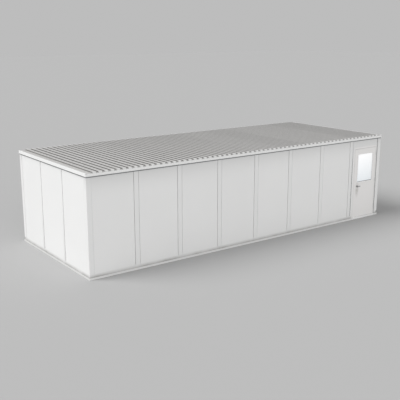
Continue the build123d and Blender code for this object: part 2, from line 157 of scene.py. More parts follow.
def make_scuffs():
    """Group: short level scuffs from trolleys and shoes, only up to a given height."""
    group, given = shader_group("scuffs", {"Reach": 0.9, "Amount": 0.2}, ["Mask"])
    place = read_place(group)
    lines = clouds(group, stretch(group, place, (3.0, 3.0, 60.0)), 1.6, detail=4.0, roughness=0.6)
    sparse = spread(group, lines, 0.0, 1.0, start=0.62, end=0.74)
    fade = fade_out(group, along(group, place, "Z"), given.outputs["Reach"], power=1.0)
    low = work_out(group, "MULTIPLY", sparse, fade)
    level = work_out(group, "MULTIPLY", low, given.outputs["Amount"], clamp=True)
    add_node(group, "NodeGroupOutput", {"Mask": level})
    return group


def make_eaves_shade():
    """Group: faint painted shade under the roof edge that thins out downwards."""
    eaves_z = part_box("long_head_tracks")[0].z
    group, given = shader_group("eaves_shade", {"Reach": 0.3, "Amount": 0.1}, ["Mask"])
    drop = work_out(group, "SUBTRACT", eaves_z, along(group, read_place(group), "Z"))
    soft = fade_out(group, drop, given.outputs["Reach"], power=2.5)
    level = work_out(group, "MULTIPLY", soft, given.outputs["Amount"], clamp=True)
    add_node(group, "NodeGroupOutput", {"Mask": level})
    return group


floor_dust_and_shade = make_floor_dust_and_shade()
eaves_shade = make_eaves_shade()
coat_grain = make_coat_grain()
scuffs = make_scuffs()


def new_material(name):
    """Material with its node tree and its Principled shader."""
    material = bpy.data.materials.new(name)
    material.use_nodes = True
    return material, material.node_tree, material.node_tree.nodes["Principled BSDF"]


def use_group(tree, group, inputs):
    """One use of a shared group."""
    return add_node(tree, "ShaderNodeGroup", inputs, node_tree=group)


def make_paint(name, colour, roughness, grain_scale=420.0, grain_depth=0.0005, dust_and_shade_reach=0.2,
               dust_and_shade_amount=0.0, scuff_amount=0.0, shade_reach=0.3, shade_amount=0.0):
    """Coated sheet: tone and gloss drift, grain as bump, scuffs, painted eaves shade, floor dust and painted
    floor shade.
    """
    dust_and_shade_colour = (0.40, 0.395, 0.38, 1.0)
    scuff_and_shade_colour = (0.30, 0.30, 0.30, 1.0)
    drift_share = 0.955
    glossier = 0.05
    duller = 0.07
    grain_strength = 0.25
    material, tree, shader = new_material(name)
    grain = use_group(tree, coat_grain, {"Grain Scale": grain_scale})
    dust_and_shade = use_group(tree, floor_dust_and_shade, {"Reach": dust_and_shade_reach, "Amount": dust_and_shade_amount})
    scuff = use_group(tree, scuffs, {"Amount": scuff_amount})
    under_eaves = use_group(tree, eaves_shade, {"Reach": shade_reach, "Amount": shade_amount})
    dull_colour = (*[channel * drift_share for channel in colour], 1.0)
    tone = mix_tones(tree, grain.outputs["Drift"], dull_colour, (*colour, 1.0))
    scuffed = mix_tones(tree, scuff.outputs["Mask"], tone, scuff_and_shade_colour)
    # Painted shade under the eaves, mixed towards the scuffs' dark grey
    shaded = mix_tones(tree, under_eaves.outputs["Mask"], scuffed, scuff_and_shade_colour)
    dusty_and_shaded = mix_tones(tree, dust_and_shade.outputs["Mask"], shaded, dust_and_shade_colour)
    gloss = spread(tree, grain.outputs["Drift"], roughness - glossier, roughness + duller)
    rubbed = work_out(tree, "ADD", gloss, dust_and_shade.outputs["Mask"], clamp=True)
    relief = emboss(tree, grain.outputs["Height"], grain_strength, grain_depth)
    feed(tree, shader, {"Base Color": dusty_and_shaded, "Roughness": rubbed, "Normal": relief})
    return material


def base_of(material):
    """A material's node tree, its Base Color socket and the output that feeds it."""
    base = material.node_tree.nodes["Principled BSDF"].inputs["Base Color"]
    return material.node_tree, base, base.links[0].from_socket


def darken(material, reading, axis, span, start, end, share):
    """Scale a coat's colour down to a share by its facing (Normal) or its place (Object) along an axis.

    What is read counts from zero up to the span and back again; the coat darkens from start to end of it.
    """
    tree, base, clean = base_of(material)
    count = work_out(tree, "PINGPONG", along(tree, read_place(tree, reading), axis), span)
    level = spread(tree, count, 1.0, share, start, end)
    tree.links.new(scale_tone(tree, clean, level), base)


def dress(material, *names):
    """Give CAD nodes a material."""
    for name in names:
        nodes[name].data.materials.clear()
        nodes[name].data.materials.append(material)


track_paint = make_paint("track_powder_coat", (0.83, 0.83, 0.82), roughness=0.42, grain_depth=0.0006,
                         dust_and_shade_reach=0.06, dust_and_shade_amount=0.15, scuff_amount=0.25)
# Painted shade: faces that look along X, the lips of the end walls' tracks, are made darker than the rest
darken(track_paint, "Normal", "X", span=1.0, start=0.3, end=0.7, share=0.88)
dress(track_paint, "front_floor_track", "back_floor_track", "left_floor_track", "right_floor_track")


def make_zinc():
    """Zinc plated steel: a dull sheen with cloudy, slightly yellow patches."""
    material, tree, shader = new_material("zinc_plate")
    patches = clouds(tree, read_place(tree), 90.0, detail=4.0)
    tone = mix_tones(tree, patches, (0.50, 0.49, 0.46, 1.0), (0.66, 0.66, 0.66, 1.0))
    feed(tree, shader, {"Base Color": tone, "Metallic": 0.85, "Roughness": spread(tree, patches, 0.28, 0.55)})
    return material


zinc = make_zinc()


def deselect_all():
    """Nothing selected, so that an operator acts only on what comes next."""
    bpy.ops.object.select_all(action="DESELECT")


def pick(*pieces):
    """Only these pieces selected, the first one active."""
    deselect_all()
    for piece in pieces:
        piece.select_set(True)
    bpy.context.view_layer.objects.active = pieces[0]


def take_new():
    """The primitive just added, with its place and size put into its mesh."""
    bpy.ops.object.transform_apply(location=True, rotation=True, scale=True)
    return bpy.context.view_layer.objects.active


def add_drum(sides, radius, height, foot=0.0):
    """Upright drum or prism on the middle line, as a start."""
    deselect_all()
    bpy.ops.mesh.primitive_cylinder_add(vertices=sides, radius=radius, depth=height,
                                        location=(0, 0, foot + height / 2))
    return take_new()


def edit_faces(piece, wanted):
    """Open a piece in edit mode with only those faces selected that pass the test."""
    pick(piece)
    for elements in (piece.data.vertices, piece.data.edges):
        for element in elements:
            element.select = False
    for face in piece.data.polygons:
        face.select = wanted(face)
    bpy.context.tool_settings.mesh_select_mode = (False, False, True)
    bpy.ops.object.mode_set(mode="EDIT")


def edit_done():
    """Back to object mode."""
    bpy.ops.object.mode_set(mode="OBJECT")


def every_face(face):
    """All faces."""
    return True


# A face looks along an axis when its normal has at least this share along it
square_on = 0.99


def faces_up(face):
    """Faces that look up."""
    return face.normal.z > square_on


def soften(piece, offset, segments=2, wanted=every_face):
    """Bevel the edges of the wanted faces."""
    edit_faces(piece, wanted)
    bpy.ops.mesh.bevel(offset=offset, segments=segments, affect="EDGES", clamp_overlap=True)
    edit_done()


def pull_out(way):
    """Extrude the selected faces of the piece that is open in edit mode."""
    bpy.ops.mesh.extrude_region_move(TRANSFORM_OT_translate={"value": way})


def join_pieces(pieces):
    """One object from several."""
    pick(*pieces)
    bpy.ops.object.join()
    return bpy.context.view_layer.objects.active


def scatter(model, places):
    """One object with a copy of the model at each place (seat, turn); the model itself goes."""
    copies = []
    for seat, turn in places:
        copy = model.copy()
        copy.data = model.data.copy()
        copy.location = seat
        copy.rotation_euler = turn
        bpy.context.scene.collection.objects.link(copy)
        copies.append(copy)
    bpy.data.objects.remove(model)
    pick(*copies)
    bpy.ops.object.transform_apply(location=True, rotation=True, scale=True)
    return join_pieces(copies)


def fit_piece(piece, name, material, body):
    """Name a finished piece, round its shading, give it its finish and let it ride on its body."""
    smooth_angle = math.radians(35.0)
    piece.name = name
    piece.data.name = name
    pick(piece)
    bpy.ops.object.shade_smooth_by_angle(angle=smooth_angle)
    piece.data.materials.clear()
    piece.data.materials.append(material)
    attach(piece, body)


def make_hex_fastener(washer_radius, washer_height, hex_radius, hex_height, stud_height=0.0):
    """Hexagon head or nut on its washer, seated at the origin and pointing up, with a stud end if wanted."""
    washer_sides = 14
    hex_sides = 6
    chamfer_share = 0.2
    stud_share = 0.58
    washer = add_drum(washer_sides, washer_radius, washer_height)
    soften(washer, washer_height * chamfer_share, segments=1, wanted=faces_up)
    head = add_drum(hex_sides, hex_radius, hex_height, foot=washer_height)
    soften(head, hex_height * chamfer_share, segments=1, wanted=faces_up)
    if stud_height:
        edit_faces(head, faces_up)
        bpy.ops.mesh.inset(thickness=hex_radius * (1.0 - chamfer_share) * (1.0 - stud_share))
        pull_out((0, 0, stud_height))
        edit_done()
    return join_pieces([washer, head])


# Turns that point a fixing out of each side of the building
out_front = (math.radians(90.0), 0.0, 0.0)
out_back = (math.radians(-90.0), 0.0, 0.0)
out_left = (0.0, math.radians(-90.0), 0.0)
out_right = (0.0, math.radians(90.0), 0.0)
upright = (0.0, 0.0, 0.0)
upside_down = (math.radians(180.0), 0.0, 0.0)

bays_long = 8
bays_short = 3
bay_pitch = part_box("front_panel_2")[0].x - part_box("front_panel_1")[0].x
tray_gauge = 0.003
gutter_y = (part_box("front_floor_track")[0].y + tray_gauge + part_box("front_kick_rails")[0].y) / 2
gutter_x = (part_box("left_floor_track")[0].x + tray_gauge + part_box("end_kick_rails")[0].x) / 2
anchor_places = []
for bay in range(bays_long):
    anchor_x = (bay + 0.5 - bays_long / 2) * bay_pitch
    anchor_places.append(((anchor_x, -gutter_y, tray_gauge), upright))
    if anchor_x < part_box("door_sill")[0].x:
        anchor_places.append(((anchor_x, gutter_y, tray_gauge), upright))
for bay in range(bays_short):
    anchor_y = (bay + 0.5 - bays_short / 2) * bay_pitch
    anchor_places.append(((gutter_x, anchor_y, tray_gauge), upright))
    anchor_places.append(((-gutter_x, anchor_y, tray_gauge), upright))
anchor = make_hex_fastener(washer_radius=0.0088, washer_height=0.0020, hex_radius=0.0070, hex_height=0.0065,
                           stud_height=0.010)
fit_piece(scatter(anchor, anchor_places), "floor_anchors", zinc, "building")

# Kick rails
# Folded steel channels, turned over, that stand in the floor track and carry the panels and posts a little
# behind their faces. They have the wall's off-white coat and scuffs, and painted shade, mottled like dust,
# that darkens them towards the floor.
# Painted shade: the rails darken strongly towards the floor, mottled, for the gutter behind the lip
kick_paint = make_paint("kick_rail_coat", (0.85, 0.85, 0.845), roughness=0.5, grain_scale=380.0,
                        grain_depth=0.0006, dust_and_shade_reach=0.155, dust_and_shade_amount=2.9, scuff_amount=0.35)
dress(kick_paint, "front_kick_rails", "back_kick_rails", "end_kick_rails")

# Posts
# Square steel tubes with a smooth off-white powder coat. Welded tongues on their sides hold the panels, and
# the joint beside each post is a narrow shadow line.
# The posts carry painted shade under the roof edge
post_paint = make_paint("post_powder_coat", (0.86, 0.86, 0.855), roughness=0.38, dust_and_shade_reach=0.25,
                        dust_and_shade_amount=0.06, scuff_amount=0.15, shade_reach=0.5, shade_amount=0.2)
dress(post_paint, "front_studs", "back_studs", "end_studs", "front_left_post", "front_right_post",
      "back_left_post", "back_right_post")

# Wall panels
# Sandwich slabs with a matte off-white steel facing, embossed with a fine pebble grain. They slide down
# between the posts, and the strip beside the door and the panel over it are cut from the same slab.


def make_facing(name, colour, shade_reach, shade_amount):
    """Facing of the slabs, with the painted shade that the wall has under its roof edge."""
    return make_paint(name, colour, roughness=0.55, grain_scale=240.0, grain_depth=0.0010,
                      dust_and_shade_reach=0.35, dust_and_shade_amount=0.05, scuff_amount=0.12,
                      shade_reach=shade_reach, shade_amount=shade_amount)


front_panels = [name for name in nodes if name.startswith("front_panel_")]
# Painted shade under the roof edge: deep on the long walls, faint on the end walls
panel_facing = make_facing("panel_facing", (0.875, 0.875, 0.87), shade_reach=0.65, shade_amount=0.27)
dress(panel_facing, *front_panels, "back_panels", "door_header_panel", "door_filler")
end_facing = make_facing("end_panel_facing", (0.86, 0.86, 0.855), shade_reach=0.2, shade_amount=0.08)
dress(end_facing, "left_panels", "right_panels")

# End wall cover strips
# Pressed steel strips with a raised middle over the two joints of each end wall, coated like the posts. A
# dark rubber lip along each edge seals them to the panels and stands in for the shadow line there, as painted
# shade, and screws hold them to the slim studs.


def grey(tone):
    """Plain grey."""
    return (tone, tone, tone, 1.0)


def make_rubber(name, dark, pale, fade=None):
    """Rubber between two grey tones: with a chalky bloom, or dark up to one height and pale from another."""
    material, tree, shader = new_material(name)
    place = read_place(tree)
    bloom = clouds(tree, place, 60.0, detail=5.0)
    share = bloom
    if fade:
        foot_z, top_z = fade
        share = spread(tree, along(tree, place, "Z"), 0.0, 1.0, start=foot_z, end=top_z)
    tone = mix_tones(tree, share, grey(dark), grey(pale))
    feed(tree, shader, {"Base Color": tone, "Roughness": spread(tree, bloom, 0.6, 0.85)})
    return material


rubber = make_rubber("seal_rubber", dark=0.045, pale=0.11)


def add_block(low, high):
    """Block between two corners, as a start."""
    middle = [(start + end) / 2 for start, end in zip(low, high)]
    size = [end - start for start, end in zip(low, high)]
    deselect_all()
    bpy.ops.mesh.primitive_cube_add(size=1.0, location=middle, scale=size)
    return take_new()


def make_bar(low, high, softness):
    """Straight bar between two corners with softened edges."""
    bar = add_block(low, high)
    soften(bar, softness)
    return bar


def make_pan_screw(radius, height):
    """Pan-head screw seated at the origin and pointing up, with a round driver recess."""
    screw_sides = 12
    rim_share = 0.45
    recess_share = 0.55
    screw = add_drum(screw_sides, radius, height)
    soften(screw, height * rim_share, wanted=faces_up)
    edit_faces(screw, faces_up)
    bpy.ops.mesh.inset(thickness=radius * rim_share)
    pull_out((0, 0, -height * recess_share))
    edit_done()
    return screw


def make_cover_strip(length, width, thickness, crown_margin, crown):
    """Strip lying along X, seated at the origin and facing up, with a raised middle and soft edges."""
    softness_share = 0.12
    strip = add_block((-length / 2, -width / 2, 0.0), (length / 2, width / 2, thickness))
    edit_faces(strip, faces_up)
    bpy.ops.mesh.inset(thickness=crown_margin)
    pull_out((0, 0, crown))
    edit_done()
    soften(strip, thickness * softness_share)
    return strip


strip_width = 0.062
strip_thickness = 0.0075
strip_crown = 0.0015
strip_margin = 0.009
lip_width = 0.004
lip_thickness = 0.002
strip_screws = 5
end_face_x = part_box("left_panels")[0].x
strip_low_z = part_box("left_panels")[0].z
strip_high_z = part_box("end_head_tracks")[0].z
strip_length = strip_high_z - strip_low_z
strip_z = (strip_low_z + strip_high_z) / 2
strip_places = []
lip_places = []
strip_screw_places = []
for joint_y in (-bay_pitch / 2, bay_pitch / 2):
    for side, turn in ((1, out_left), (-1, out_right)):
        strip_places.append(((side * end_face_x, joint_y, strip_z), turn))
        crest_x = side * (end_face_x - strip_thickness - strip_crown)
        for step in range(strip_screws):
            screw_z = strip_low_z + (step + 0.5) * strip_length / strip_screws
            strip_screw_places.append(((crest_x, joint_y, screw_z), turn))
        for edge in (-1, 1):
            edge_y = joint_y + edge * (strip_width + lip_width) / 2
            lip_x = side * (end_face_x - lip_thickness / 2)
            lip_places.append(((lip_x, edge_y, 0.0), upright))
# The lips' dark rubber is partly painted shade along the strips' edges
strip_lip = make_bar((-lip_thickness / 2, -lip_width / 2, strip_low_z),
                     (lip_thickness / 2, lip_width / 2, strip_high_z), lip_thickness / 4)
strip_lips = scatter(strip_lip, lip_places)
cover_strip = make_cover_strip(strip_length, strip_width, strip_thickness, strip_margin, strip_crown)
fit_piece(scatter(cover_strip, strip_places), "end_wall_strips", post_paint, "building")
fit_piece(strip_lips, "end_wall_strip_lips", rubber, "building")
strip_screw = make_pan_screw(radius=0.0045, height=0.0022)
fit_piece(scatter(strip_screw, strip_screw_places), "end_wall_strip_screws", post_paint, "building")

# Corner seals
# Beads of white sealant in the joints between the corner posts and the panels beside them, pressed in just
# behind the panels' faces. The joints at the other posts stay open, and the door's own corner has its frame.
corner_joint = 0.010
bead_setback = 0.003
bead_depth = 0.006
bead_low_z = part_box("back_panels")[0].z
bead_high_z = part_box("long_head_tracks")[0].z
long_bead_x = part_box("back_panels")[1].x + corner_joint / 2
long_bead_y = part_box("back_panels")[1].y - bead_setback - bead_depth / 2
end_bead_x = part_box("right_panels")[1].x - bead_setback - bead_depth / 2
end_bead_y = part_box("right_panels")[1].y + corner_joint / 2
quarter_turn = (0.0, 0.0, math.radians(90.0))
bead_places = [((-long_bead_x, -long_bead_y, 0.0), upright)]
for side in (-1, 1):
    bead_places.append(((side * long_bead_x, long_bead_y, 0.0), upright))
    for end in (-1, 1):
        bead_places.append(((side * end_bead_x, end * end_bead_y, 0.0), quarter_turn))
bead = make_bar((-corner_joint / 2, -bead_depth / 2, bead_low_z),
                (corner_joint / 2, bead_depth / 2, bead_high_z), bead_depth / 4)
sealant = make_rubber("white_sealant", dark=0.70, pale=0.78)
fit_piece(scatter(bead, bead_places), "corner_seals", sealant, "building")

# Head tracks
# Inverted steel trays over the walls, seen as a thin line below the roof trim; their dark grey is painted
# shade that stands in for the shadow under the trim. Two pan-head screws through each leg hold it to every
# post.
head_paint = make_paint("head_track_grey", (0.20, 0.205, 0.21), roughness=0.5, grain_scale=380.0,
                        grain_depth=0.0006, dust_and_shade_amount=0.2)
dress(head_paint, "long_head_tracks", "end_head_tracks")


def wall_places(stations_x, stations_y, left_x, front_y, level):
    """Places on the outer faces of the long walls and the end walls, at one level, each turned outwards."""
    places = []
    for x in stations_x:
        places.append(((x, front_y, level), out_front))
        places.append(((x, -front_y, level), out_back))
    for y in stations_y:
        places.append(((left_x, y, level), out_left))
        places.append(((-left_x, y, level), out_right))
    return places


def post_stations(bays):
    """Stations of the screws along a wall, two beside the middle of each post."""
    screw_side = 0.035
    middles = [(post - bays / 2) * bay_pitch for post in range(bays + 1)]
    return [middle + side for middle in middles for side in (-screw_side, screw_side)]


head_screw_z = (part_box("long_head_tracks")[0].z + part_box("front_roof_trim")[0].z) / 2
head_places = wall_places(post_stations(bays_long), post_stations(bays_short),
                          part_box("end_head_tracks")[0].x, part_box("long_head_tracks")[0].y, head_screw_z)
head_screw = make_pan_screw(radius=0.0045, height=0.0022)
fit_piece(scatter(head_screw, head_places), "head_track_screws", head_paint, "building")

# Roof trims
# Folded sheet with the same off-white coat, a touch glossier than the walls, screwed to the head track with
# painted screws. The long trims are made of lengths that meet under a splice plate.
trim_paint = make_paint("trim_powder_coat", (0.90, 0.90, 0.895), roughness=0.34)
dress(trim_paint, "front_roof_trim", "back_roof_trim", "left_roof_trim", "right_roof_trim")


def half_bay_stations(bays):
    """Stations of the screws along a trim, two to a bay."""
    return [(step + 0.5 - bays) * bay_pitch / 2 for step in range(2 * bays)]


trim_low, trim_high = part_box("front_roof_trim")
trim_screw_z = (trim_low.z + trim_high.z) / 2
trim_places = wall_places(half_bay_stations(bays_long), half_bay_stations(bays_short),
                          trim_low.x, trim_low.y, trim_screw_z)
trim_screw = make_pan_screw(radius=0.0050, height=0.0026)
fit_piece(scatter(trim_screw, trim_places), "trim_screws", trim_paint, "building")

splice_half_width = 0.040
splice_thickness = 0.0012
splice_inset = 0.003
splice_bays = 2.5
splice_x = splice_bays * bay_pitch / 2
splice_y = splice_thickness / 2 - trim_low.y
splice_places = [((end * splice_x, side * splice_y, 0.0), upright) for side in (-1, 1) for end in (-1, 1)]
splice = make_bar((-splice_half_width, -splice_thickness / 2, trim_low.z + splice_inset),
                  (splice_half_width, splice_thickness / 2, trim_high.z - splice_inset), splice_thickness / 3)
fit_piece(scatter(splice, splice_places), "trim_splices", trim_paint, "building")

# Rib closures
# Moulded strips with the outline of the deck, off-white, that stop the open ends of the ribs on the front
# and back edges. They are glued to the trim before the deck is laid; painted shade darkens them beside the
# deck's webs.
rib_pitch = 0.1525
unshaded_half_width = 0.034
shade_fade = 0.012
closure_finish = make_paint("rib_closure", (0.80, 0.80, 0.79), roughness=0.6, grain_scale=260.0,
                            grain_depth=0.0008)
# Painted shade: each tooth darkens towards its flanks, beside the webs
darken(closure_finish, "Object", "X", span=rib_pitch / 2, start=unshaded_half_width,
       end=unshaded_half_width + shade_fade, share=0.5)
dress(closure_finish, "rib_closures")

# Roof deck
# Roll-formed galvanised sheets, ribs running from front to back. The steep webs are painted much darker than
# the flats as painted shade. Side laps are stitched, and screws with washers hold the valleys to the walls.
deck_low, deck_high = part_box("roof_deck")
ribs_per_sheet = 6
deck_ribs = 63


def make_galvanised():
    """Dull zinc with spangle, the steep webs painted far darker than the flats as painted shade.

    Dust also settles in the corners of the valleys. Towards the back right corner the painted web shade
    fades out, and the whole sheet is painted darker there as painted shade.
    """
    drift_height = 0.022
    shade_way = (0.8, 0.6, 0.0)
    even_from = -2.8
    even_to = 0.1
    even_share = 0.75
    even_shade_loss = 0.32
    falloff_share = 0.83
    material, tree, shader = new_material("galvanised_deck")
    place = read_place(tree)
    spangle = add_node(tree, "ShaderNodeTexVoronoi", {"Vector": place, "Scale": 45.0})
    tint = add_node(tree, "ShaderNodeSeparateColor", {0: spangle.outputs["Color"]})
    # Painted shade: the webs take the dark tone, the flats the pale one
    painted_web_shade = mix_tones(tree, tint.outputs[0], (0.155, 0.153, 0.150, 1.0), (0.195, 0.192, 0.188, 1.0))
    flat_tone = mix_tones(tree, tint.outputs[1], (0.51, 0.502, 0.493, 1.0), (0.59, 0.581, 0.571, 1.0))
    facing_up = spread(tree, along(tree, read_place(tree, "Normal"), "Z"), 0.0, 1.0, start=0.35, end=0.85)
    drift = spread(tree, along(tree, place, "Z"), 1.0, 0.0, start=deck_low.z, end=deck_low.z + drift_height)
    way = add_node(tree, "ShaderNodeVectorMath", {0: place, 1: shade_way}, operation="DOT_PRODUCT")
    across = way.outputs["Value"]
    even = spread(tree, across, 0.0, even_share, start=even_from, end=even_to)
    flat_share = work_out(tree, "MAXIMUM", facing_up, work_out(tree, "MAXIMUM", even, drift))
    deck_tone = mix_tones(tree, flat_share, painted_web_shade, flat_tone)
    sheets = work_out(tree, "DIVIDE", along(tree, place, "X"), ribs_per_sheet * rib_pitch)
    number = work_out(tree, "FLOOR", sheets)
    batch = add_node(tree, "ShaderNodeTexWhiteNoise", {"W": number}, noise_dimensions="1D")
    streaks = clouds(tree, stretch(tree, place, (14.0, 0.8, 1.0)), 1.0, detail=5.0, roughness=0.6)
    uneven = work_out(tree, "ADD", batch.outputs["Value"], streaks)
    level = spread(tree, uneven, 0.90, 1.08, end=2.0)
    # Painted shade: the deck darkens towards the back right
    painted_falloff = spread(tree, across, 1.0, falloff_share, start=deck_low.x, end=deck_high.x)
    even_shade = work_out(tree, "MULTIPLY_ADD", even, -even_shade_loss, 1.0)
    shade = work_out(tree, "MULTIPLY", work_out(tree, "MULTIPLY", level, painted_falloff), even_shade)
    feed(tree, shader, {"Base Color": scale_tone(tree, deck_tone, shade), "Metallic": 0.15,
                        "Roughness": spread(tree, tint.outputs[2], 0.42, 0.62)})
    return material


galvanised = make_galvanised()
dress(galvanised, "roof_deck")

deck_gauge = 0.001
valley_z = deck_low.z + deck_gauge
lap_half_width = 0.011
lap_thickness = 0.0012
lap_end_inset = 0.010
joint_lines = [(rib - deck_ribs / 2) * rib_pitch for rib in range(ribs_per_sheet, deck_ribs, ribs_per_sheet)]
lap_places = [((joint_x, 0.0, 0.0), upright) for joint_x in joint_lines]
lap = make_bar((-lap_half_width, deck_low.y + lap_end_inset, valley_z),
               (lap_half_width, deck_high.y - lap_end_inset, valley_z + lap_thickness), lap_thickness / 3)
fit_piece(scatter(lap, lap_places), "deck_side_laps", galvanised, "building")

stitch_rows = 6
deck_screw_places = []
for joint_x in joint_lines:
    for row in range(stitch_rows):
        stitch_y = deck_low.y + (row + 0.5) * (deck_high.y - deck_low.y) / stitch_rows
        deck_screw_places.append(((joint_x, stitch_y, valley_z + lap_thickness), upright))
wall_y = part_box("front_studs")[0].y / 2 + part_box("front_studs")[1].y / 2
for valley in range(1, deck_ribs):
    valley_x = (valley - deck_ribs / 2) * rib_pitch
    seat_z = valley_z + (lap_thickness if valley % ribs_per_sheet == 0 else 0.0)
    deck_screw_places.append(((valley_x, wall_y, seat_z), upright))
    deck_screw_places.append(((valley_x, -wall_y, seat_z), upright))
deck_screw = make_hex_fastener(washer_radius=0.0095, washer_height=0.002, hex_radius=0.0052,
                               hex_height=0.005)
fit_piece(scatter(deck_screw, deck_screw_places), "deck_screws", zinc, "building")

# Door frame
# Pressed steel jambs and head in the last bay, painted off-white, over a folded sill with a white nosing and
# a ribbed metal threshold. A rubber seal lines the stops, rubber strips dark as painted shade fill the joints
# to the posts, and a strike plate takes the latch.
door_paint = make_paint("door_paint", (0.89, 0.877, 0.866), roughness=0.36, grain_scale=300.0,
                        dust_and_shade_reach=0.3, dust_and_shade_amount=0.06, scuff_amount=0.12)
dress(door_paint, "door_jamb_left", "door_jamb_right", "door_head", "door_sill")

leaf_low, leaf_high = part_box("door_leaf")
door_gap = 0.006
stop_lap = 0.010
seat_gap = 0.005
seal_depth = 0.0042
seal_inset = 0.001
opening_left = leaf_low.x - door_gap
opening_right = leaf_high.x + door_gap
opening_top = leaf_high.z + door_gap
stop_y = leaf_high.y + seat_gap
seal_width = stop_lap - 2 * seal_inset
seal_left = opening_left + seal_inset
seal_right = opening_right - seal_inset
seal_top = opening_top - seal_inset
seal_places = [((seal_left + seal_width / 2, 0.0, 0.0), upright),
               ((seal_right - seal_width / 2, 0.0, 0.0), upright)]
side_seal = make_bar((-seal_width / 2, stop_y - seal_depth, leaf_low.z),
                     (seal_width / 2, stop_y, seal_top), seal_depth / 3)
top_seal = make_bar((seal_left, stop_y - seal_depth, seal_top - seal_width),
                    (seal_right, stop_y, seal_top), seal_depth / 3)
door_seal = join_pieces([scatter(side_seal, seal_places), top_seal])
fit_piece(door_seal, "door_seal", rubber, "building")

joint_width = 0.025
joint_strip_depth = 0.010
left_strip_inset = 0.003
right_strip_inset = 0.006
shadow_top = 1.5
filler_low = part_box("door_filler")[0]
sill_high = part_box("door_sill")[1]
jamb_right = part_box("door_jamb_right")[1].x
joint_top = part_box("long_head_tracks")[0].z
left_strip_y = filler_low.y + left_strip_inset
right_strip_y = filler_low.y + right_strip_inset
left_strip = make_bar((filler_low.x - joint_width, left_strip_y, filler_low.z),
                      (filler_low.x, left_strip_y + joint_strip_depth, joint_top), joint_strip_depth / 3)
# Painted shade: the left strip is near black up to 1.5 m and paler above, for the joint's shadow
joint_shadow_rubber = make_rubber("joint_shadow_rubber", dark=0.03, pale=0.60, fade=(shadow_top, joint_top))
fit_piece(left_strip, "left_joint_strip", joint_shadow_rubber, "building")
right_strip = make_bar((jamb_right, right_strip_y, sill_high.z),
                       (jamb_right + joint_width, right_strip_y + joint_strip_depth, joint_top),
                       joint_strip_depth / 3)
# Painted shade: the right strip's grey stands in for its joint's shadow
grey_rubber = make_rubber("grey_rubber", dark=0.23, pale=0.31)
fit_piece(right_strip, "right_joint_strip", grey_rubber, "building")


def make_nosing(low, high, fold_z, reach):
    """Folded plate: an upright leg between two corners whose top edge is folded back over a ledge."""
    bevel_share = 0.2
    nosing = add_block(low, high)
    edit_faces(nosing, every_face)
    bpy.ops.mesh.bisect(plane_co=(0.0, 0.0, fold_z), plane_no=(0.0, 0.0, 1.0))
    edit_done()
    edit_faces(nosing, lambda face: face.normal.y > square_on and face.center.z > fold_z)
    pull_out((0, reach, 0))
    edit_done()
    soften(nosing, (high[2] - fold_z) * bevel_share)
    return nosing


nosing_gauge = 0.0008
nosing_foot = 0.001
# A brighter white than the door's coat, so that the nosing and the sill bar carry a painted highlight
ledge_white = make_paint("ledge_white", (0.96, 0.96, 0.955), roughness=0.34, grain_depth=0.0004)
lip_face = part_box("front_floor_track")[0].y
nosing = make_nosing((opening_left, lip_face - nosing_gauge, nosing_foot),
                     (opening_right, lip_face, sill_high.z + nosing_gauge),
                     sill_high.z, leaf_low.y - lip_face)
fit_piece(nosing, "door_nosing", ledge_white, "building")

threshold_plate = 0.0004
threshold_rib = 0.0004
threshold_ribs = 6
threshold_inset = 0.004
rib_half_width = 0.002
tread_left = opening_left + threshold_inset
tread_right = opening_right - threshold_inset
tread_low_y = leaf_low.y + threshold_inset
tread_step = (sill_high.y - tread_low_y) / (threshold_ribs + 1)
tread_top = sill_high.z + threshold_plate
tread = make_bar((tread_left, tread_low_y, sill_high.z),
                 (tread_right, sill_high.y - threshold_inset, tread_top), threshold_plate / 4)
tread_rib = make_bar((tread_left, -rib_half_width, sill_high.z),
                     (tread_right, rib_half_width, tread_top + threshold_rib), threshold_rib / 4)
rib_places = [((0.0, tread_low_y + rib * tread_step, 0.0), upright) for rib in range(1, threshold_ribs + 1)]
threshold = join_pieces([tread, scatter(tread_rib, rib_places)])
fit_piece(threshold, "door_threshold", zinc, "building")

lever_low, lever_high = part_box("lever_roses")
lever_x = (lever_low.x + lever_high.x) / 2
lever_z = (lever_low.z + lever_high.z) / 2
leaf_y = (leaf_low.y + leaf_high.y) / 2
plate_half_width = 0.014
plate_half_height = 0.055
strike_thickness = 0.0008
strike = make_bar((opening_left, leaf_y - plate_half_width, lever_z - plate_half_height),
                  (opening_left + strike_thickness, leaf_y + plate_half_width, lever_z + plate_half_height),
                  strike_thickness / 3)
fit_piece(strike, "strike_plate", zinc, "building")

# Door leaf
# Flush steel leaf, painted off-white, with a painted shadow below the lever. A latch bolt in its face plate
# sits in the free edge, and a rubber strip along its foot, indoors, keeps out the draught.


def add_lever_shadow(material, middle, half_width, half_height, amount):
    """Painted shadow on a coated sheet: grey blots in an upright oval, thinning out from its middle."""
    shadow_colour = (0.33, 0.31, 0.28, 1.0)
    tree, base, clean = base_of(material)
    place = read_place(tree)
    offset = add_node(tree, "ShaderNodeVectorMath", {0: place, 1: middle}, operation="SUBTRACT")
    halves = (half_width, half_height, half_height)
    oval = add_node(tree, "ShaderNodeVectorMath", {0: offset.outputs[0], 1: halves}, operation="DIVIDE")
    away = add_node(tree, "ShaderNodeVectorMath", {0: oval.outputs[0]}, operation="LENGTH")
    fading = {"Value": away.outputs["Value"], "To Min": 1.0, "To Max": 0.0}
    near = add_node(tree, "ShaderNodeMapRange", fading, interpolation_type="SMOOTHSTEP")
    blots = clouds(tree, place, 22.0, detail=5.0, roughness=0.6)
    sparse = spread(tree, blots, 0.0, amount, start=0.20, end=0.60)
    mask = work_out(tree, "MULTIPLY", near.outputs[0], sparse)
    tree.links.new(mix_tones(tree, mask, clean, shadow_colour), base)


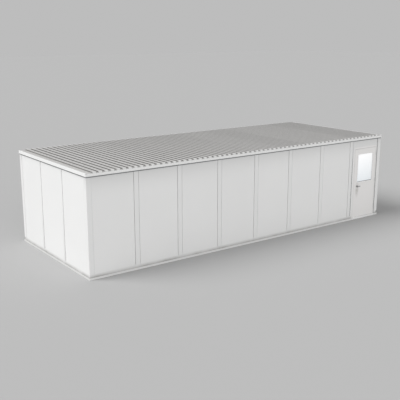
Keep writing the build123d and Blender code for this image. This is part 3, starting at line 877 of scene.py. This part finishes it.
shadow_drop = 0.10
shadow_shift = 0.012
leaf_paint = door_paint.copy()
leaf_paint.name = "door_leaf_paint"
add_lever_shadow(leaf_paint, (lever_x + shadow_shift, leaf_y, lever_z - shadow_drop), half_width=0.105,
               half_height=0.31, amount=0.58)
dress(leaf_paint, "door_leaf")

latch_thickness = 0.0006
bolt_reach = 0.0038
bolt_half_width = 0.007
bolt_half_height = 0.011
latch_plate = make_bar(
    (leaf_low.x - latch_thickness, leaf_y - plate_half_width, lever_z - plate_half_height),
    (leaf_low.x, leaf_y + plate_half_width, lever_z + plate_half_height),
    latch_thickness / 3,
)
latch_bolt = make_bar((leaf_low.x - bolt_reach, leaf_y - bolt_half_width, lever_z - bolt_half_height),
                      (leaf_low.x, leaf_y + bolt_half_width, lever_z + bolt_half_height),
                      bolt_reach / 3)
fit_piece(join_pieces([latch_plate, latch_bolt]), "latch_bolt", zinc, "door")

sweep_side = 0.014
sweep_thickness = 0.003
sweep_height = 0.034
sweep = make_bar((leaf_low.x + sweep_side, leaf_high.y, leaf_low.z),
                 (leaf_high.x - sweep_side, leaf_high.y + sweep_thickness, leaf_low.z + sweep_height),
                 sweep_thickness / 4)
fit_piece(sweep, "door_sweep", rubber, "door")

# Door light
# Two pale frosted panes with a painted glow and a painted sky reflection, clamped by a white frame on each
# face of the leaf. A dark gasket runs round the outer pane, thickest along its foot, where it is painted
# shade under the frame; below it lies a sill bar in a brighter white, a painted highlight. Screws hold the
# frame.
dress(door_paint, "door_light_frame")


def make_pane():
    """Frosted glass, faintly mottled, with painted glow and painted reflection: white at top, greyer at foot.
    """
    frost_strength = 0.15
    frost_depth = 0.0004
    material, tree, shader = new_material("frosted_pane")
    glass_low, glass_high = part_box("door_glass")
    place = read_place(tree)
    rise = spread(tree, along(tree, place, "Z"), 0.0, 1.0, start=glass_low.z, end=glass_high.z)
    frost = clouds(tree, place, 420.0)
    body = mix_tones(tree, rise, (0.825, 0.86, 0.885, 1.0), (0.90, 0.905, 0.91, 1.0))
    # Painted glow and painted reflection: the pane glows, white at the top and greyer towards its foot
    glow = mix_tones(tree, rise, (0.61, 0.645, 0.68, 1.0), (1.0, 1.0, 1.0, 1.0))
    feed(tree, shader, {"Base Color": body, "Emission Color": glow, "Emission Strength": 0.305,
                        "Roughness": spread(tree, frost, 0.22, 0.36),
                        "Normal": emboss(tree, frost, frost_strength, frost_depth)})
    return material


frosted_pane = make_pane()
dress(frosted_pane, "door_glass")


def make_gasket(low, high, rim, foot):
    """Upright ring between two corners, as wide as rim on three sides and as foot along the bottom."""
    bevel_share = 0.2
    ring = add_block(low, high)
    edit_faces(ring, lambda face: abs(face.normal.y) > square_on)
    bpy.ops.mesh.inset(thickness=rim)
    edit_done()
    for vertex in ring.data.vertices:
        at_inner_foot = low[2] + rim / 2 < vertex.co.z < low[2] + rim * 1.5
        if at_inner_foot:
            vertex.co.z = low[2] + foot
    half_area = (high[0] - low[0]) * (high[2] - low[2]) / 2
    edit_faces(ring, lambda face: abs(face.normal.y) > square_on and face.area > half_area)
    bpy.ops.mesh.bridge_edge_loops()
    edit_done()
    soften(ring, rim * bevel_share)
    return ring


light_low, light_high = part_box("door_light_frame")
light_lap = 0.015
light_neck = 0.010
gasket_rim = 0.002
gasket_foot = 0.010
gasket_depth = 0.003
gasket_fit = 0.0002
light_in = light_lap + light_neck + gasket_fit
pane_face_y = light_low.y + gasket_depth
# Painted shade: the gasket's wide dark foot stands in for the shade under the frame
gasket = make_gasket((light_low.x + light_in, light_low.y, light_low.z + light_in),
                     (light_high.x - light_in, pane_face_y, light_high.z - light_in),
                     gasket_rim, gasket_foot)
fit_piece(gasket, "light_gasket", rubber, "door")

pane_thickness = 0.004
pane_arris = 0.0006
outer_pane = make_bar((light_low.x + light_in, pane_face_y, light_low.z + light_in),
                      (light_high.x - light_in, pane_face_y + pane_thickness, light_high.z - light_in),
                      pane_arris)
fit_piece(outer_pane, "light_outer_pane", frosted_pane, "door")


def make_sill_bar(low, high):
    """Level bar between two corners whose top slopes down to a nose on its front."""
    nose_share = 0.85
    softness = 0.0012
    sill_bar = add_block(low, high)
    edit_faces(sill_bar, lambda face: -face.normal.y > square_on)
    middle_x = (low[0] + high[0]) / 2
    bpy.ops.transform.resize(value=(1.0, 1.0, nose_share), center_override=(middle_x, low[1], low[2]))
    edit_done()
    soften(sill_bar, softness)
    return sill_bar


sill_bar_height = 0.024
sill_bar_depth = 0.012
sill_bar = make_sill_bar((light_low.x, light_low.y - sill_bar_depth, light_low.z),
                         (light_high.x, light_low.y, light_low.z + sill_bar_height))
fit_piece(sill_bar, "light_sill_bar", ledge_white, "door")

light_screw_in = light_lap / 2
light_screws_side = 4
light_screws_end = 3
screw_span_x = light_high.x - light_low.x - light_lap
screw_span_z = light_high.z - light_low.z - light_lap
light_screw_places = []
for row in range(light_screws_side):
    screw_z = light_low.z + light_screw_in + row * screw_span_z / (light_screws_side - 1)
    light_screw_places.append(((light_low.x + light_screw_in, light_high.y, screw_z), out_back))
    light_screw_places.append(((light_high.x - light_screw_in, light_high.y, screw_z), out_back))
for column in range(1, light_screws_end):
    screw_x = light_low.x + light_screw_in + column * screw_span_x / light_screws_end
    light_screw_places.append(((screw_x, light_high.y, light_low.z + light_screw_in), out_back))
    light_screw_places.append(((screw_x, light_high.y, light_high.z - light_screw_in), out_back))
light_screw = make_pan_screw(radius=0.0038, height=0.002)
fit_piece(scatter(light_screw, light_screw_places), "light_frame_screws", zinc, "door")

# Lever set
# Dark satin roses and a lever of the same metal, rubbed lighter by hands. The finish is fine brushed, and
# each rose is held by two small screws.


def make_satin(name, dark, pale):
    """Brushed metal between two grey tones, with fine scratches and faint hand wear."""
    scratch_strength = 0.2
    scratch_depth = 0.0002
    material, tree, shader = new_material(name)
    place = read_place(tree)
    brush = clouds(tree, stretch(tree, place, (40.0, 900.0, 900.0)), 1.0, detail=3.0)
    wear = clouds(tree, place, 30.0, detail=3.0)
    feed(tree, shader, {"Base Color": mix_tones(tree, wear, grey(dark), grey(pale)), "Metallic": 0.7,
                        "Roughness": spread(tree, brush, 0.30, 0.48),
                        "Normal": emboss(tree, brush, scratch_strength, scratch_depth)})
    return material


dark_satin = make_satin("dark_satin", dark=0.10, pale=0.20)
dress(dark_satin, "lever_roses")
dress(make_satin("lever_satin", dark=0.30, pale=0.42), "door_lever")

rose_screw_radius = 0.019
rose_screw_places = []
for drop in (-rose_screw_radius, rose_screw_radius):
    rose_screw_places.append(((lever_x, lever_low.y, lever_z + drop), out_front))
    rose_screw_places.append(((lever_x, lever_high.y, lever_z + drop), out_back))
rose_screw = make_pan_screw(radius=0.0035, height=0.0012)
fit_piece(scatter(rose_screw, rose_screw_places), "rose_screws", dark_satin, "door")

# Hinges
# Three five-knuckle butt hinges painted with the door. Flat-head screws sit in the plates, four a plate, and
# a domed tip closes each end of the pin.


def make_pin_tip(radius, height):
    """Domed tip of a hinge pin, seated at the origin and pointing up."""
    tip_sides = 16
    dome_share = 0.7
    dome_steps = 4
    tip = add_drum(tip_sides, radius, height)
    soften(tip, height * dome_share, segments=dome_steps, wanted=faces_up)
    return tip


hinge_paint = make_paint("hinge_paint", (0.78, 0.78, 0.775), roughness=0.4, grain_depth=0.0004,
                         dust_and_shade_reach=0.3, dust_and_shade_amount=0.1)
dress(hinge_paint, "hinge_frame_halves", "hinge_door_halves")

hinge_low, hinge_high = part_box("hinge_frame_halves")
hinge_height = 0.114
knuckle_radius = 0.007
knuckle_inset = 0.0002
hinge_y = hinge_low.y + knuckle_radius
hinge_x = (leaf_high.x + opening_right) / 2
hinge_levels = [hinge_low.z, (hinge_low.z + hinge_high.z - hinge_height) / 2, hinge_high.z - hinge_height]
plate_half_gap = 0.0005
plate_row_shares = (0.14, 0.38, 0.62, 0.86)
plate_depths = (0.010, 0.022)
frame_screw_places = []
leaf_screw_places = []
pin_tip_places = []
for hinge_z in hinge_levels:
    for row, share in enumerate(plate_row_shares):
        screw_y = leaf_low.y + plate_depths[row % 2]
        screw_z = hinge_z + share * hinge_height
        frame_screw_places.append(((hinge_x + plate_half_gap, screw_y, screw_z), out_left))
        leaf_screw_places.append(((hinge_x - plate_half_gap, screw_y, screw_z), out_right))
    pin_tip_places.append(((hinge_x, hinge_y, hinge_z + hinge_height - knuckle_inset), upright))
    pin_tip_places.append(((hinge_x, hinge_y, hinge_z + knuckle_inset), upside_down))
plate_screw_radius = 0.0042
plate_screw_height = 0.0002
frame_screw = make_pan_screw(plate_screw_radius, plate_screw_height)
fit_piece(scatter(frame_screw, frame_screw_places), "hinge_frame_screws", zinc, "building")
leaf_screw = make_pan_screw(plate_screw_radius, plate_screw_height)
fit_piece(scatter(leaf_screw, leaf_screw_places), "hinge_leaf_screws", zinc, "door")
pin_tip = make_pin_tip(radius=0.0052, height=0.0045)
fit_piece(scatter(pin_tip, pin_tip_places), "hinge_pin_tips", hinge_paint, "building")

# Studio
# Pale matte floor that catches the shadow, under a soft even light. The background has the floor's tone, so
# that no horizon shows.
floor_size = 300.0
floor_drop = 0.001
floor_tone = 0.44
background_tone = 0.508
ambient_level = 0.52
white = (1.0, 1.0, 1.0, 1.0)
deselect_all()
bpy.ops.mesh.primitive_plane_add(size=floor_size, location=(0, 0, -floor_drop))
floor = bpy.context.object
floor.name = "studio_floor"
floor_finish, floor_tree, floor_shader = new_material("studio_floor")
feed(floor_tree, floor_shader, {"Base Color": grey(floor_tone), "Roughness": 0.9, "Specular IOR Level": 0.0})
floor.data.materials.append(floor_finish)

world = bpy.data.worlds.new("studio")
bpy.context.scene.world = world
world.use_nodes = True
sky = world.node_tree
ambient = sky.nodes["Background"]
feed(sky, ambient, {"Color": white, "Strength": ambient_level})
backdrop = add_node(sky, "ShaderNodeBackground", {"Color": white, "Strength": background_tone})
rays = add_node(sky, "ShaderNodeLightPath", {})
seen = work_out(sky, "MAXIMUM", rays.outputs["Is Camera Ray"], rays.outputs["Is Glossy Ray"])
seen_through = work_out(sky, "MAXIMUM", seen, rays.outputs["Is Transmission Ray"])
choice = {0: seen_through, 1: ambient.outputs[0], 2: backdrop.outputs[0]}
chosen = add_node(sky, "ShaderNodeMixShader", choice)
feed(sky, sky.nodes["World Output"], {"Surface": chosen.outputs[0]})


def add_sun(name, energy, spread_angle, tilt, turn):
    """Wide soft lamp, by its strength and its angles in degrees."""
    lamp = bpy.data.lights.new(name, "SUN")
    lamp.energy = energy
    lamp.angle = math.radians(spread_angle)
    holder = bpy.data.objects.new(name, lamp)
    holder.rotation_euler = (math.radians(tilt), 0.0, math.radians(turn))
    bpy.context.scene.collection.objects.link(holder)


# The key stands high on the left and a little behind; the fill is low, in front of the long wall
add_sun("key", energy=2.3, spread_angle=40.0, tilt=42.0, turn=-112.0)
add_sun("fill", energy=1.10, spread_angle=60.0, tilt=75.0, turn=-15.0)

# Camera
# Set at the photograph's viewing angle, left of the front corner and above the roof edge.
camera_data = bpy.data.cameras.new("camera")
camera_data.lens = 61.076
camera_data.sensor_width = 36.0
camera_data.clip_end = 500.0
camera = bpy.data.objects.new("camera", camera_data)
camera.location = (-11.514, -15.091, 5.453)
camera.rotation_euler = (math.radians(76.204), math.radians(0.022), math.radians(-36.243))
bpy.context.scene.collection.objects.link(camera)
bpy.context.scene.camera = camera

bpy.context.scene.view_settings.view_transform = "Standard"
